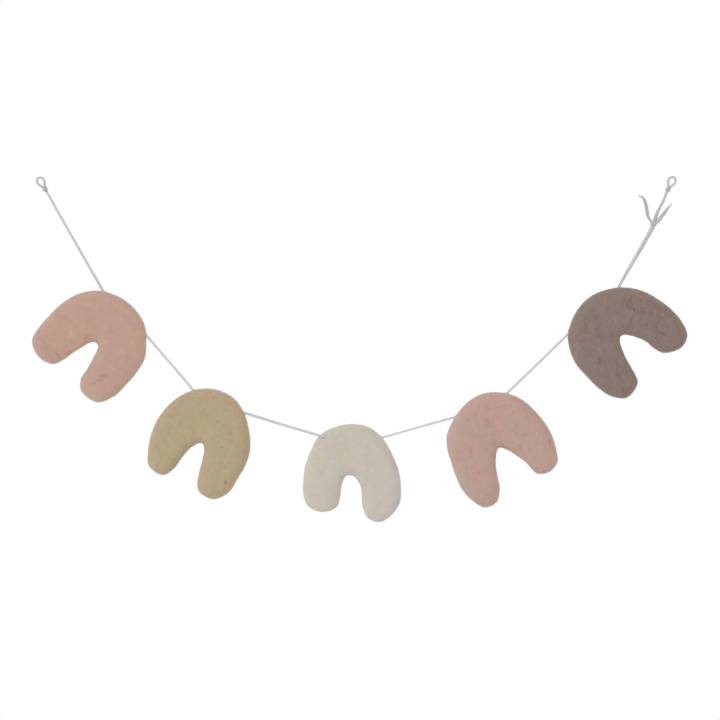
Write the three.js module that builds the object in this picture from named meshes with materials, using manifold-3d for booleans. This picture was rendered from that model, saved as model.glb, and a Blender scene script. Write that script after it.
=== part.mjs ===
// Felt garland: five thick wool-felt arches threaded on one thin string.
// Millimetres, +Z up. The garland hangs in the XZ plane, its front faces -Y, and the origin is
// midway between the tops of the two hanging loops.

import * as THREE from "three";
import { mergeVertices } from "three/addons/utils/BufferGeometryUtils.js";
import Module from "manifold-3d";

const wasm = await Module();
wasm.setup();

// Driving sizes
const STRING_DIAMETER = 2.2;
const STRING_COLOUR = 0xcbcbca;
const GAP = 0.3;
const FELT_THICKNESS = 16;
// How flat the felt's face is before it rolls over into the round edge: 2 is an ellipse
const FACE_FLATNESS = 4;
// A foot rounds off over this many steps of its arch's table, counted from the toe
const ROUND_END = 2;

// How finely the shapes are faceted
const STRING_SIDES = 8;
const STRING_STEPS = 128;
const LOOP_STEPS = 10;
const RING_POINTS = 16;
const SECTIONS_PER_RIB = 3;
const KNOT_SEGMENTS_ROUND = 14;
const KNOT_SEGMENTS_ALONG = 10;

// The arches. place is the centre of each arch's table in the garland, as x and z. A toe is the
// tip of a foot. A row is one rib, across the felt from its outer edge to its inner edge, from the
// left foot over the crown to the right foot. The first and last rows lie in the rounded ends.
const RIB_COLUMNS = ["outerX", "outerZ", "innerX", "innerZ"];
const ARCHES = [
  {
    name: "felt_arch_dusty_pink",
    colour: 0xbd9d8d,
    place: [-266.4, -163.5],
    leftToe: [-51.6, -16.6],
    ribs: [
      [-57.9, -0.9, -37.5, -24],
      [-49.4, 14.8, -25.8, -19.4],
      [-41.6, 23.6, -17.4, -13.2],
      [-30.2, 35, -8.6, -7.6],
      [-14, 45.1, -1.7, -3.5],
      [6, 49.4, 2.8, -2.1],
      [26.6, 44.3, 5.5, -2.7],
      [43.8, 32.1, 7.4, -4.5],
      [54.4, 15.6, 8.2, -7],
      [56.2, -1, 6.8, -10.8],
      [54.5, -18.9, 3.1, -18.2],
      [46.1, -33.3, -2.8, -29],
      [35.2, -46, -9.2, -39.1],
      [24.2, -56.3, -8.6, -51.2],
    ],
    rightToe: [7.5, -62.2],
  },
  {
    name: "felt_arch_olive",
    colour: 0xb4a284,
    place: [-156.4, -263.5],
    leftToe: [-36.5, -35],
    ribs: [
      [-50.9, -26.3, -25.3, -27.9],
      [-52.2, -12, -19.2, -19.4],
      [-50, 1.4, -12.3, -10.7],
      [-44.6, 16.5, -7.1, -6.3],
      [-35.5, 30.4, -2.7, -3.9],
      [-20.2, 43.9, -0.7, -3.1],
      [0.1, 51.2, 1.1, -3.1],
      [18.9, 49.7, 2.8, -4.2],
      [35.3, 40.3, 4.1, -6.8],
      [45.3, 23.9, 4.2, -11.5],
      [49.4, 6.9, 2.8, -17.9],
      [50.1, -10, 0.8, -25.9],
      [45.6, -24.8, -1.2, -34.4],
      [37.7, -38.8, -2.8, -43.5],
      [28.9, -52.2, -0.6, -52.1],
    ],
    rightToe: [13.5, -59.2],
  },
  {
    name: "felt_arch_cream",
    colour: 0xc5bdb0,
    place: [-6.4, -298.5],
    leftToe: [-27.5, -37],
    ribs: [
      [-42.2, -30.9, -13.6, -32.1],
      [-46.9, -17, -9.5, -20.5],
      [-46.7, -6, -8.4, -10.5],
      [-45.2, 7, -6.2, -4.4],
      [-40.1, 21.8, -4.2, -1.3],
      [-31.5, 38.2, -2.5, -0.6],
      [-16.6, 47.5, -0.8, -0.5],
      [2, 51.1, 0.6, -0.5],
      [20.1, 47.1, 2.8, -1],
      [33.9, 34.9, 5.3, -2.7],
      [43.4, 18, 7.8, -5.8],
      [49.5, 1, 10.8, -12],
      [51, -15, 11.9, -21.5],
      [49.9, -27.5, 12.4, -31.2],
      [42.3, -39.3, 18.1, -43.4],
    ],
    rightToe: [30.4, -46.8],
  },
  {
    name: "felt_arch_rose",
    colour: 0xba9b8f,
    place: [143.6, -273.5],
    leftToe: [-15, -57.5],
    ribs: [
      [-26.7, -51.7, -3.4, -52],
      [-36.8, -41.2, -0.2, -38.5],
      [-43.3, -28.5, -2, -28.6],
      [-48.8, -12.6, -4, -18],
      [-52.9, 1.9, -4.2, -8],
      [-52.7, 16.8, -3, -1],
      [-45.6, 31.4, -1.7, 1.4],
      [-34.5, 46, 0, 2.2],
      [-18.5, 55.8, 2, 2],
      [-0.1, 57.5, 4.7, 1.1],
      [18.7, 52.2, 8.8, -0.5],
      [34.4, 39.9, 13.6, -3.5],
      [46.2, 25.3, 19.3, -7.5],
      [52.2, 14, 25, -11.6],
      [56.2, 0.4, 29.9, -16.9],
      [57.3, -12, 36.9, -23.5],
    ],
    rightToe: [49.4, -21.8],
  },
  {
    name: "felt_arch_taupe",
    colour: 0x887771,
    place: [273.6, -163.5],
    leftToe: [-3.3, -57.6],
    ribs: [
      [-19.7, -55.8, 7.6, -42.5],
      [-32.3, -47.4, 0.3, -25.9],
      [-42.9, -36.7, -4.3, -17.6],
      [-53.7, -24.5, -7.5, -10],
      [-60, -10.4, -9.5, -4],
      [-62.1, 4, -10, 0],
      [-58.3, 19.7, -9.8, 2.3],
      [-50.2, 33.5, -9, 3.9],
      [-37.2, 45, -7.5, 4.9],
      [-20.5, 51.1, -5.3, 5.3],
      [-2.1, 52.3, -2.3, 5],
      [15.2, 47.9, 2.1, 4],
      [29.5, 39.8, 8.5, 2],
      [42.1, 29.7, 16, -1.5],
      [52, 18, 23.1, -7.8],
      [57.4, 4, 34, -12.9],
    ],
    rightToe: [50.4, -8.3],
  },
];

// The string's route, as x, y and z: down from the left loop, straight through each arch with a
// slight bend where it goes in and comes out, and up through the join knot to the right loop. It
// goes into the cream arch through the front of its rounded shoulder.
const STRING_ROUTE = [
  [-309.7, 0, -15.3],
  [-307.4, 0, -19.5],
  [-280.4, 0, -67.2],
  [-256.7, 0, -108.5],
  [-253.1, 0, -114.6],
  [-248, 0, -119.5],
  [-214.6, 0, -153.8],
  [-209.9, 0, -158.9],
  [-205.3, 0, -164.3],
  [-168.1, 0, -207.7],
  [-163.5, 0, -213.1],
  [-157.2, 0, -215.9],
  [-118.4, 0, -233.3],
  [-112.1, 0, -236.2],
  [-105.4, -0.5, -238.3],
  [-74.6, -3, -247.8],
  [-43.9, -5.6, -256.8],
  [-37.2, -6.3, -258.9],
  [-31.5, -5.5, -260.1],
  [-26.5, -3.4, -260.5],
  [-19.5, -1.2, -260.6],
  [-10, 0, -260.5],
  [18.6, 0, -260.4],
  [25.7, 0, -260.8],
  [32.5, 0, -259.1],
  [91.1, 0, -242.5],
  [97.9, 0, -240.6],
  [104.3, 0, -237.7],
  [144.2, 0, -219.6],
  [150.4, 0, -216.6],
  [155.5, 0, -211.8],
  [180.5, 0, -187.9],
  [205.7, 0, -163.2],
  [210.7, 0, -158.3],
  [216.2, 0, -153.9],
  [256.6, 0, -116.4],
  [261.6, 0, -111.5],
  [265, 0, -105.4],
  [297.6, 0, -46.5],
  [300.4, 0, -37.2],
  [307.1, 0, -24],
  [310.4, 0, -15.4],
];

// Knots: centre, half sizes along and across the string, and the string's direction there
const JOIN_KNOT = { x: 297.6, z: -46.5, along: 3.6, across: 3, up: [0.42, 0.91] };
const LEFT_LOOP_KNOT = { x: -311.4, z: -12.5, along: 3, across: 2.5, up: [-0.5, 0.866] };
const RIGHT_LOOP_KNOT = { x: 311.8, z: -12.4, along: 3, across: 2.5, up: [0.42, 0.91] };

// Tails of the join knot, each from its knot to its free end, as x, y and z
const LIMP_TAIL_STEPS = 6;
const LIMP_TAIL = [
  [294.3, -1.2, -44.6],
  [291.5, -2.2, -40],
  [290.3, -2.8, -34],
  [289.2, -3, -28.5],
  [287.7, -2.8, -23.6],
  [285.3, -2.2, -20.6],
  [282.6, -1.6, -19.4],
];
const FRAYED_TAIL_STEPS = 4;
const FRAYED_TAIL = [
  [301.2, -1.6, -44.6],
  [305.6, -2.4, -39.6],
  [309.7, -2.8, -34],
  [312.6, -2.6, -30.4],
  [315, -2.4, -27.6],
];
const LYING_TAIL_STEPS = 5;
const LYING_TAIL = [
  [296.4, -2.4, -50.4],
  [294.3, -2.5, -54],
  [285.2, -2.5, -70.5],
  [274.5, -2.5, -89.8],
  [268.7, -2.4, -100.2],
];

// A hanging loop, from its knot round to its knot again: how far up and how far aside
const LOOP_OUTLINE = [
  [3.5, -1.5],
  [6.4, -3.2],
  [9.4, -3.5],
  [12, -2.1],
  [12.8, 0],
  [12, 2.1],
  [9.4, 3.5],
  [6.4, 3.2],
  [3.5, 1.5],
];

const feltMaterial = (colour) =>
  new THREE.MeshStandardMaterial({ color: colour, roughness: 0.95, metalness: 0 });
const stringMaterial = () =>
  new THREE.MeshStandardMaterial({ color: STRING_COLOUR, roughness: 0.85, metalness: 0 });

// Solids for cutting and back again
function toSolid(geometry) {
  const bare = geometry.clone();
  bare.deleteAttribute("normal");
  bare.deleteAttribute("uv");
  const merged = mergeVertices(bare);
  return new wasm.Manifold(
    new wasm.Mesh({
      numProp: 3,
      vertProperties: new Float32Array(merged.attributes.position.array),
      triVerts: new Uint32Array(merged.index.array),
    }),
  );
}

function toGeometry(solid) {
  const mesh = solid.getMesh();
  const geometry = new THREE.BufferGeometry();
  geometry.setAttribute("position", new THREE.BufferAttribute(mesh.vertProperties, 3));
  geometry.setIndex(new THREE.BufferAttribute(mesh.triVerts, 1));
  geometry.computeVertexNormals();
  return geometry;
}

function cut(geometry, cutter) {
  return toGeometry(toSolid(geometry).subtract(cutter));
}

// Strings
function smoothPath(points) {
  return new THREE.CatmullRomCurve3(points, false, "centripetal");
}

function tube(path, radius, steps) {
  const section = new THREE.Shape();
  for (let side = 0; side < STRING_SIDES; side++) {
    const angle = (2 * Math.PI * side) / STRING_SIDES;
    const x = radius * Math.cos(angle);
    const y = radius * Math.sin(angle);
    if (side === 0) section.moveTo(x, y);
    else section.lineTo(x, y);
  }
  section.closePath();
  return new THREE.ExtrudeGeometry(section, { steps, bevelEnabled: false, extrudePath: path });
}

// Felt. A rib has a centre, a half vector out to the outer edge, and how full its width is: 1 in
// the limbs, and down to 0 as a foot rounds off towards its toe.
function ribsAlong(arch) {
  const column = (row, name) => row[RIB_COLUMNS.indexOf(name)];
  const edgePoint = (x, z) => new THREE.Vector3(x, 0, z);
  const outer = arch.ribs.map((row) => edgePoint(column(row, "outerX"), column(row, "outerZ")));
  const inner = arch.ribs.map((row) => edgePoint(column(row, "innerX"), column(row, "innerZ")));
  const outline = [edgePoint(...arch.leftToe), ...outer, edgePoint(...arch.rightToe)];
  outline.push(...inner.reverse());
  const curve = new THREE.CatmullRomCurve3(outline, true, "centripetal");
  const toeToToe = arch.ribs.length + 1;
  const ribAt = (place) => {
    const outerPoint = curve.getPoint(place / outline.length);
    const innerPoint = curve.getPoint(1 - place / outline.length);
    const centre = outerPoint.clone().add(innerPoint).multiplyScalar(0.5);
    return { centre, half: outerPoint.sub(centre) };
  };
  const leftWidth = ribAt(ROUND_END).half.length();
  const rightWidth = ribAt(toeToToe - ROUND_END).half.length();
  const ribs = [];
  for (let i = 1; i < toeToToe * SECTIONS_PER_RIB; i++) {
    const place = i / SECTIONS_PER_RIB;
    const rib = ribAt(place);
    rib.fullness = 1;
    if (place < ROUND_END) rib.fullness = rib.half.length() / leftWidth;
    if (place > toeToToe - ROUND_END) rib.fullness = rib.half.length() / rightWidth;
    rib.fullness = Math.min(1, rib.fullness);
    ribs.push(rib);
  }
  return ribs;
}

// The ring of points round one rib: the face stays flat and rolls over near the edge
function ringPoints(rib) {
  const points = [];
  for (let i = 0; i < RING_POINTS; i++) {
    const angle = (2 * Math.PI * i) / RING_POINTS;
    const across = Math.cos(angle);
    const fromMiddle = Math.sqrt(1 - rib.fullness ** 2 * (1 - across ** 2));
    const depth = Math.sqrt(Math.max(0, 1 - fromMiddle ** FACE_FLATNESS));
    const side = i === 0 || 2 * i === RING_POINTS ? 0 : Math.sign(Math.sin(angle));
    const point = rib.centre.clone().addScaledVector(rib.half, across);
    point.y = side * depth * 0.5 * FELT_THICKNESS;
    points.push(point);
  }
  return points;
}

function feltArch(arch) {
  const rings = ribsAlong(arch).map(ringPoints);
  const points = rings.flat();
  const firstTip = points.length;
  const lastTip = firstTip + 1;
  const lastRing = (rings.length - 1) * RING_POINTS;
  points.push(new THREE.Vector3(arch.leftToe[0], 0, arch.leftToe[1]));
  points.push(new THREE.Vector3(arch.rightToe[0], 0, arch.rightToe[1]));
  const triangles = [];
  for (let i = 0; i < RING_POINTS; i++) {
    const next = (i + 1) % RING_POINTS;
    triangles.push(firstTip, i, next);
    triangles.push(lastTip, lastRing + next, lastRing + i);
    for (let ring = 0; ring < rings.length - 1; ring++) {
      const here = ring * RING_POINTS;
      const there = here + RING_POINTS;
      triangles.push(here + i, there + i, here + next);
      triangles.push(there + i, there + next, here + next);
    }
  }
  const geometry = new THREE.BufferGeometry().setFromPoints(points);
  geometry.setIndex(triangles);
  geometry.translate(arch.place[0], 0, arch.place[1]);
  return geometry;
}

// Knots
function knotFrame(knot) {
  const up = new THREE.Vector3(knot.up[0], 0, knot.up[1]).normalize();
  const aside = new THREE.Vector3(up.z, 0, -up.x);
  const centre = new THREE.Vector3(knot.x, 0, knot.z);
  return { up, aside, centre };
}

function knotBody(knot) {
  const { up, aside, centre } = knotFrame(knot);
  const body = new THREE.SphereGeometry(1, KNOT_SEGMENTS_ROUND, KNOT_SEGMENTS_ALONG);
  body.scale(knot.across, knot.along, knot.across);
  const turn = new THREE.Matrix4().makeBasis(aside, up, new THREE.Vector3(0, -1, 0));
  body.applyMatrix4(turn);
  body.translate(centre.x, centre.y, centre.z);
  return body;
}

function hangingLoop(knot) {
  const { up, aside, centre } = knotFrame(knot);
  const points = LOOP_OUTLINE.map(([along, out]) =>
    centre.clone().addScaledVector(up, along).addScaledVector(aside, out),
  );
  return tube(smoothPath(points), STRING_DIAMETER / 2, LOOP_STEPS);
}

// Assembly
const garland = new THREE.Group();

function add(name, geometry, material) {
  const mesh = new THREE.Mesh(geometry, material);
  mesh.name = name;
  garland.add(mesh);
}

const toVectors = (rows) => rows.map(([x, y, z]) => new THREE.Vector3(x, y, z));
const stringPath = smoothPath(toVectors(STRING_ROUTE));
const threadedBore = toSolid(tube(stringPath, STRING_DIAMETER / 2 + GAP, STRING_STEPS));

for (const arch of ARCHES) {
  add(arch.name, cut(feltArch(arch), threadedBore), feltMaterial(arch.colour));
}
add("string", tube(stringPath, STRING_DIAMETER / 2, STRING_STEPS), stringMaterial());
add("join_knot", cut(knotBody(JOIN_KNOT), threadedBore), stringMaterial());
for (const [name, points, steps] of [
  ["tail_limp", LIMP_TAIL, LIMP_TAIL_STEPS],
  ["tail_frayed", FRAYED_TAIL, FRAYED_TAIL_STEPS],
  ["tail_lying", LYING_TAIL, LYING_TAIL_STEPS],
]) {
  add(name, tube(smoothPath(toVectors(points)), STRING_DIAMETER / 2, steps), stringMaterial());
}
for (const [side, knot] of [
  ["left", LEFT_LOOP_KNOT],
  ["right", RIGHT_LOOP_KNOT],
]) {
  add(`loop_knot_${side}`, knotBody(knot), stringMaterial());
  add(`loop_${side}`, hangingLoop(knot), stringMaterial());
}

export default garland;
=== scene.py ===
import math

import bmesh
import bpy
import numpy as np
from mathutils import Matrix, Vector, noise


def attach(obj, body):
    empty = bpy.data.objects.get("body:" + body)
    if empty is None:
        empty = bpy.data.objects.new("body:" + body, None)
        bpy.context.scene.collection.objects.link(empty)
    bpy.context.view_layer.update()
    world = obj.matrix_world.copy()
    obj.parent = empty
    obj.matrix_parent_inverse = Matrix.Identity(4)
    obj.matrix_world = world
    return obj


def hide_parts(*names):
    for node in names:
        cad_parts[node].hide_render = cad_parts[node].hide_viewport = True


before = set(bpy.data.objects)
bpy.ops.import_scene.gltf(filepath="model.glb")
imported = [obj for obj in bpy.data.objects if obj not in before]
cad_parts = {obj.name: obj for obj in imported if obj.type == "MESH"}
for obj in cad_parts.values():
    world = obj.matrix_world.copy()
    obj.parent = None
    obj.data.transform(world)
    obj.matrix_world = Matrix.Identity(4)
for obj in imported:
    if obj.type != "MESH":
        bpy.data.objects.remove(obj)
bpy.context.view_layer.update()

# The tables and the knots' sizes are in millimetres, and everything else is in metres
MM = 0.001
STRING_DIAMETER = 2.2 * MM
FELT_THICKNESS = 16 * MM

# Camera: the photo's frame is 720 mm wide at the garland, seen level and square on
CAMERA_PLACE = (0.0036, -3.0, -0.1835)
PICTURE_WIDTH = 0.720
SENSOR_WIDTH = 36

camera_data = bpy.data.cameras.new("camera")
camera_data.sensor_width = SENSOR_WIDTH
camera_data.lens = SENSOR_WIDTH * -CAMERA_PLACE[1] / PICTURE_WIDTH
camera = bpy.data.objects.new("camera", camera_data)
camera.location = CAMERA_PLACE
camera.rotation_euler = (math.radians(90), 0, 0)
bpy.context.scene.collection.objects.link(camera)
bpy.context.scene.camera = camera


# Curves
SAMPLES_PER_POINT = 40
FEWEST_POINTS = 4
TINY = 1e-12
NEARLY_ALONG = 0.9


def curve_at(points, places, closed):
    """Points of the smooth curve through points. A place is the number of a point, or between."""
    points = np.asarray(points, float)
    if closed:
        run = np.vstack([points[-1], points, points[:2]])
    else:
        run = np.vstack([2 * points[0] - points[1], points, 2 * points[-1] - points[-2]])
    spans = len(points) if closed else len(points) - 1
    places = np.asarray(places, float)
    places = np.mod(places, spans) if closed else np.clip(places, 0, spans)
    first = np.minimum(np.floor(places).astype(int), spans - 1)
    part = (places - first)[:, None]
    a, b, c, d = (run[first + step] for step in range(4))
    before, here, after = (
        np.sqrt(np.linalg.norm(q - p, axis=1))[:, None] for p, q in ((a, b), (b, c), (c, d))
    )
    leave = (b - a) / before - (c - a) / (before + here) + (c - b) / here
    arrive = (c - b) / here - (d - b) / (here + after) + (d - c) / after
    leave, arrive = leave * here, arrive * here
    bend = -3 * b + 3 * c - 2 * leave - arrive
    twist = 2 * b - 2 * c + leave + arrive
    return b + part * (leave + part * (bend + part * twist))


def line_through(points, gap):
    """Points about gap apart on the smooth open curve through points."""
    dense = curve_at(points, np.linspace(0, len(points) - 1, SAMPLES_PER_POINT * len(points)), False)
    run = np.concatenate([[0], np.cumsum(np.linalg.norm(np.diff(dense, axis=0), axis=1))])
    at = np.linspace(0, run[-1], max(FEWEST_POINTS, round(run[-1] / gap) + 1))
    return np.column_stack([np.interp(at, run, dense[:, axis]) for axis in range(3)])


def length_of(line):
    return np.linalg.norm(np.diff(line, axis=0), axis=1).sum()


def unit(vectors):
    return vectors / np.maximum(np.linalg.norm(vectors, axis=-1, keepdims=True), TINY)


def sides_along(line):
    """Two directions square to the line at each of its points, turning as little as they can."""
    ahead = unit(np.gradient(line, axis=0))
    side = np.empty_like(line)
    start = np.array([0.0, -1.0, 0.0])
    if abs(ahead[0] @ start) > NEARLY_ALONG:
        start = np.array([1.0, 0.0, 0.0])
    for i, direction in enumerate(ahead):
        start = start - (start @ direction) * direction
        start = start / np.linalg.norm(start)
        side[i] = start
    return side, np.cross(ahead, side)


# Meshes
def new_object(name, vertices, faces, smooth=True):
    mesh = bpy.data.meshes.new(name)
    mesh.from_pydata(np.asarray(vertices).tolist(), [], faces)
    mesh.validate()
    if smooth:
        mesh.shade_smooth()
    piece = bpy.data.objects.new(name, mesh)
    bpy.context.scene.collection.objects.link(piece)
    return piece


def tube_faces(rings, sides):
    """Quads of a tube of that many rings, and a fan at each end round one more point."""
    faces = []
    last = (rings - 1) * sides
    start_tip, end_tip = rings * sides, rings * sides + 1
    for i in range(sides):
        j = (i + 1) % sides
        faces.append((start_tip, j, i))
        faces.append((end_tip, last + i, last + j))
        for here in range(0, last, sides):
            faces.append((here + i, here + j, here + sides + j, here + sides + i))
    return faces


PLIES = 3
SIDES_PER_PLY = 6
RING_GAP = 0.5 * MM
PLY_TURN = 7.5 * MM
PLY_RADIUS = 0.68
PLY_OFFSET = 1 - PLY_RADIUS
GROOVE_SHARPNESS = 3
END_GROOVE = 0.5


def yarn(line, radii, turn=PLY_TURN):
    """Vertices and faces of a yarn of three plies twisted round the line, and how deep in the
    groove between two plies each vertex is, from 0 to 1."""
    sides = PLIES * SIDES_PER_PLY
    across, over = sides_along(line)
    run = np.concatenate([[0], np.cumsum(np.linalg.norm(np.diff(line, axis=0), axis=1))])
    angle = np.linspace(0, 2 * math.pi, sides, endpoint=False)[None, :]
    in_ply = np.mod((angle - 2 * math.pi * run[:, None] / turn) * PLIES / (2 * math.pi), 1) - 0.5
    in_ply = in_ply * 2 * math.pi / PLIES
    reach = PLY_OFFSET * np.cos(in_ply)
    reach = reach + np.sqrt(PLY_RADIUS**2 - (PLY_OFFSET * np.sin(in_ply)) ** 2)
    reach = reach * np.broadcast_to(radii, len(line))[:, None]
    around = np.cos(angle)[..., None] * across[:, None] + np.sin(angle)[..., None] * over[:, None]
    rings = line[:, None] + reach[..., None] * around
    vertices = np.vstack([rings.reshape(-1, 3), line[:1], line[-1:]])
    groove = np.abs(in_ply / (math.pi / PLIES)) ** GROOVE_SHARPNESS
    groove = np.concatenate([groove.ravel(), [END_GROOVE, END_GROOVE]])
    return vertices, tube_faces(len(line), sides), groove


def joined(parts):
    """Vertices, faces and the vertices' own values of several meshes as one."""
    vertices, faces, values, base = [], [], [], 0
    for part_vertices, part_faces, part_values in parts:
        vertices.append(part_vertices)
        faces += [tuple(base + i for i in face) for face in part_faces]
        values.append(part_values)
        base += len(part_vertices)
    return np.vstack(vertices), faces, np.concatenate(values)


# How much greyer and darker the knots, tails and loops are, from 0 to 1
ENDS_GREY_AND_SHADE = 0.7


def string_piece(name, parts, material, grey_and_shade=None):
    """One piece of string, greyed and darkened at each ring from 0 to 1 by the last argument: tone and
    painted shade.
    """
    vertices, faces, grooves = joined(parts)
    piece = new_object(name, vertices, faces)
    grey_and_shade_values = np.full(len(vertices), ENDS_GREY_AND_SHADE)
    if grey_and_shade is not None:
        grey_and_shade_values = np.append(np.repeat(grey_and_shade, PLIES * SIDES_PER_PLY), grey_and_shade[[0, -1]])
    for attribute, values in (("groove", grooves), ("grey_and_shade", grey_and_shade_values)):
        piece.data.attributes.new(attribute, "FLOAT", "POINT").data.foreach_set("value", values)
    piece.data.materials.append(material)
    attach(piece, "root")
    return piece


# Shader nodes
class Nodes:
    """Short names for building one material's node tree."""

    def __init__(self, name):
        self.material = bpy.data.materials.new(name)
        self.material.use_nodes = True
        self.tree = self.material.node_tree
        self.shader = self.tree.nodes["Principled BSDF"]
        self.place = self.tree.nodes.new("ShaderNodeTexCoord").outputs["Object"]

    def new(self, kind, **settings):
        node = self.tree.nodes.new(kind)
        for key, value in settings.items():
            setattr(node, key, value)
        return node

    def feed(self, source, target):
        if isinstance(source, bpy.types.NodeSocket):
            self.tree.links.new(source, target)
        else:
            target.default_value = source

    def mapped(self, scale=(1, 1, 1), rotation=(0, 0, 0), shift=(0, 0, 0)):
        node = self.new("ShaderNodeMapping")
        self.feed(self.place, node.inputs["Vector"])
        node.inputs["Location"].default_value = shift
        node.inputs["Rotation"].default_value = rotation
        node.inputs["Scale"].default_value = scale
        return node.outputs["Vector"]

    def noise(self, scale, detail, where=None, distortion=0.0):
        node = self.new("ShaderNodeTexNoise")
        self.feed(self.place if where is None else where, node.inputs["Vector"])
        node.inputs["Scale"].default_value = scale
        node.inputs["Detail"].default_value = detail
        node.inputs["Distortion"].default_value = distortion
        return node.outputs["Fac"]

    def math(self, operation, a, b):
        node = self.new("ShaderNodeMath", operation=operation)
        self.feed(a, node.inputs[0])
        self.feed(b, node.inputs[1])
        return node.outputs[0]

    def ramp(self, value, low, high, out_low=0.0, out_high=1.0):
        node = self.new("ShaderNodeMapRange", interpolation_type="SMOOTHSTEP")
        for socket, given in zip(node.inputs, (value, low, high, out_low, out_high)):
            self.feed(given, socket)
        return node.outputs[0]

    def mix(self, factor, a, b, blend="MIX"):
        node = self.new("ShaderNodeMix", data_type="RGBA", blend_type=blend)
        self.feed(factor, node.inputs["Factor"])
        self.feed(a, node.inputs["A"])
        self.feed(b, node.inputs["B"])
        return node.outputs["Result"]

    def attribute(self, name, output):
        return self.new("ShaderNodeAttribute", attribute_name=name).outputs[output]

    def bump(self, height, distance, strength, under=None):
        node = self.new("ShaderNodeBump")
        self.feed(height, node.inputs["Height"])
        node.inputs["Distance"].default_value = distance
        node.inputs["Strength"].default_value = strength
        if under is not None:
            self.feed(under, node.inputs["Normal"])
        return node.outputs["Normal"]


def linear(*levels):
    """A colour given as 0 to 255 screen levels."""
    shares = (level / 255 for level in levels)
    return tuple(s / 12.92 if s <= 0.04045 else ((s + 0.055) / 1.055) ** 2.4 for s in shares) + (1,)


def string_material():
    n = Nodes("twisted_string")
    wisps = n.noise(2600, 3, n.mapped(scale=(1, 1, 0.35), rotation=(0.3, 0.5, 0.2)))
    groove = n.attribute("groove", "Fac")
    grey_and_shade = n.attribute("grey_and_shade", "Fac")
    # Greyer and darker yarn by the vertex attribute: a greyer tone, and painted shade where the tails
    # lie along the string beside the join knot
    crest = n.mix(grey_and_shade, linear(213, 213, 213), linear(189, 189, 190))
    # Painted shade: the yarn is darker deep in the grooves between its plies
    colour = n.mix(groove, crest, n.mix(grey_and_shade, linear(180, 180, 180), linear(152, 152, 153)))
    colour = n.mix(n.ramp(wisps, 0.45, 0.75, 0.0, 0.3), colour, linear(228, 228, 228))
    duller = n.ramp(n.noise(140, 2), 0.4, 0.75, 0.0, 0.25)
    n.feed(n.mix(duller, colour, linear(176, 175, 174)), n.shader.inputs["Base Color"])
    n.feed(n.ramp(wisps, 0.3, 0.7, 0.78, 0.95), n.shader.inputs["Roughness"])
    n.feed(n.bump(wisps, 0.0002, 0.6), n.shader.inputs["Normal"])
    n.shader.inputs["Specular IOR Level"].default_value = 0.25
    n.shader.inputs["Sheen Weight"].default_value = 0.15
    return n.material


string_look = string_material()

# The string's route, as x, y and z in millimetres: down from the left loop, straight through each
# arch with a slight bend where it goes in and comes out, and up to the right loop. It goes into
# the cream arch through the front of its rounded shoulder.
STRING_ROUTE = [
    (-309.7, 0, -15.3),
    (-307.4, 0, -19.5),
    (-280.4, 0, -67.2),
    (-256.7, 0, -108.5),
    (-253.1, 0, -114.6),
    (-248, 0, -119.5),
    (-214.6, 0, -153.8),
    (-209.9, 0, -158.9),
    (-205.3, 0, -164.3),
    (-168.1, 0, -207.7),
    (-163.5, 0, -213.1),
    (-157.2, 0, -215.9),
    (-118.4, 0, -233.3),
    (-112.1, 0, -236.2),
    (-105.4, -0.5, -238.3),
    (-74.6, -3, -247.8),
    (-43.9, -5.6, -256.8),
    (-37.2, -6.3, -258.9),
    (-31.5, -5.5, -260.1),
    (-26.5, -3.4, -260.5),
    (-19.5, -1.2, -260.6),
    (-10, 0, -260.5),
    (18.6, 0, -260.4),
    (25.7, 0, -260.8),
    (32.5, 0, -259.1),
    (91.1, 0, -242.5),
    (97.9, 0, -240.6),
    (104.3, 0, -237.7),
    (144.2, 0, -219.6),
    (150.4, 0, -216.6),
    (155.5, 0, -211.8),
    (180.5, 0, -187.9),
    (205.7, 0, -163.2),
    (210.7, 0, -158.3),
    (216.2, 0, -153.9),
    (256.6, 0, -116.4),
    (261.6, 0, -111.5),
    (265, 0, -105.4),
    (297.6, 0, -46.5),
    (300.4, 0, -37.2),
    (307.1, 0, -24),
    (310.4, 0, -15.4),
]
# In the scene the string runs on into the middle of the knot at each end
LEFT_END, RIGHT_END = (-311.2, 0, -12.8), (311.6, 0, -12.8)
string_line = line_through(np.array([LEFT_END, *STRING_ROUTE, RIGHT_END]) * MM, RING_GAP)


WAVER_LENGTH = 9 * MM


def wavering(line, share, seed):
    """The string's radius along the line, uneven by up to that share, as spun yarn is."""
    waves = np.linspace(0, 1, len(line)) * length_of(line) / WAVER_LENGTH
    uneven = np.array([noise.noise(Vector((wave, seed, 0))) for wave in waves])
    return STRING_DIAMETER / 2 * (1 + share * uneven)


# The yarn isn't even: x is a place along the garland in millimetres, fullness multiplies the
# yarn's radius there, and the last column is how much greyer and darker it is, from 0 to 1. Beside
# the join knot, where the tails lie along the string, most of that is painted shade; elsewhere it
# is a greyer tone.
YARN_COLUMNS = ("x", "fullness", "grey_and_shade")
YARN = [
    (-309, 1.2, 0.2),
    (-257, 1.4, 0.2),
    (-205, 1.15, 0.0),
    (-168, 1.15, 0.0),
    (-112, 1.4, 0.2),
    (-70, 1.25, 0.1),
    (-40, 1.35, 0.2),
    (32, 0.95, 0.0),
    (60, 0.95, 0.0),
    (91, 1.1, 0.1),
    (155, 1.2, 0.1),
    (206, 1.15, 0.1),
    (262, 1.25, 0.4),
    (272, 1.65, 0.8),
    (297, 1.85, 0.9),
    (303, 1.4, 0.8),
    (311, 1.3, 0.8),
]


def along_yarn(name):
    table = np.array(YARN)
    return np.interp(string_line[:, 0] / MM, table[:, 0], table[:, YARN_COLUMNS.index(name)])


string_radii = wavering(string_line, share=0.07, seed=1) * along_yarn("fullness")
string = string_piece(
    "threaded_string", [yarn(string_line, string_radii)], string_look, along_yarn("grey_and_shade")
)
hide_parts("string")


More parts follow.
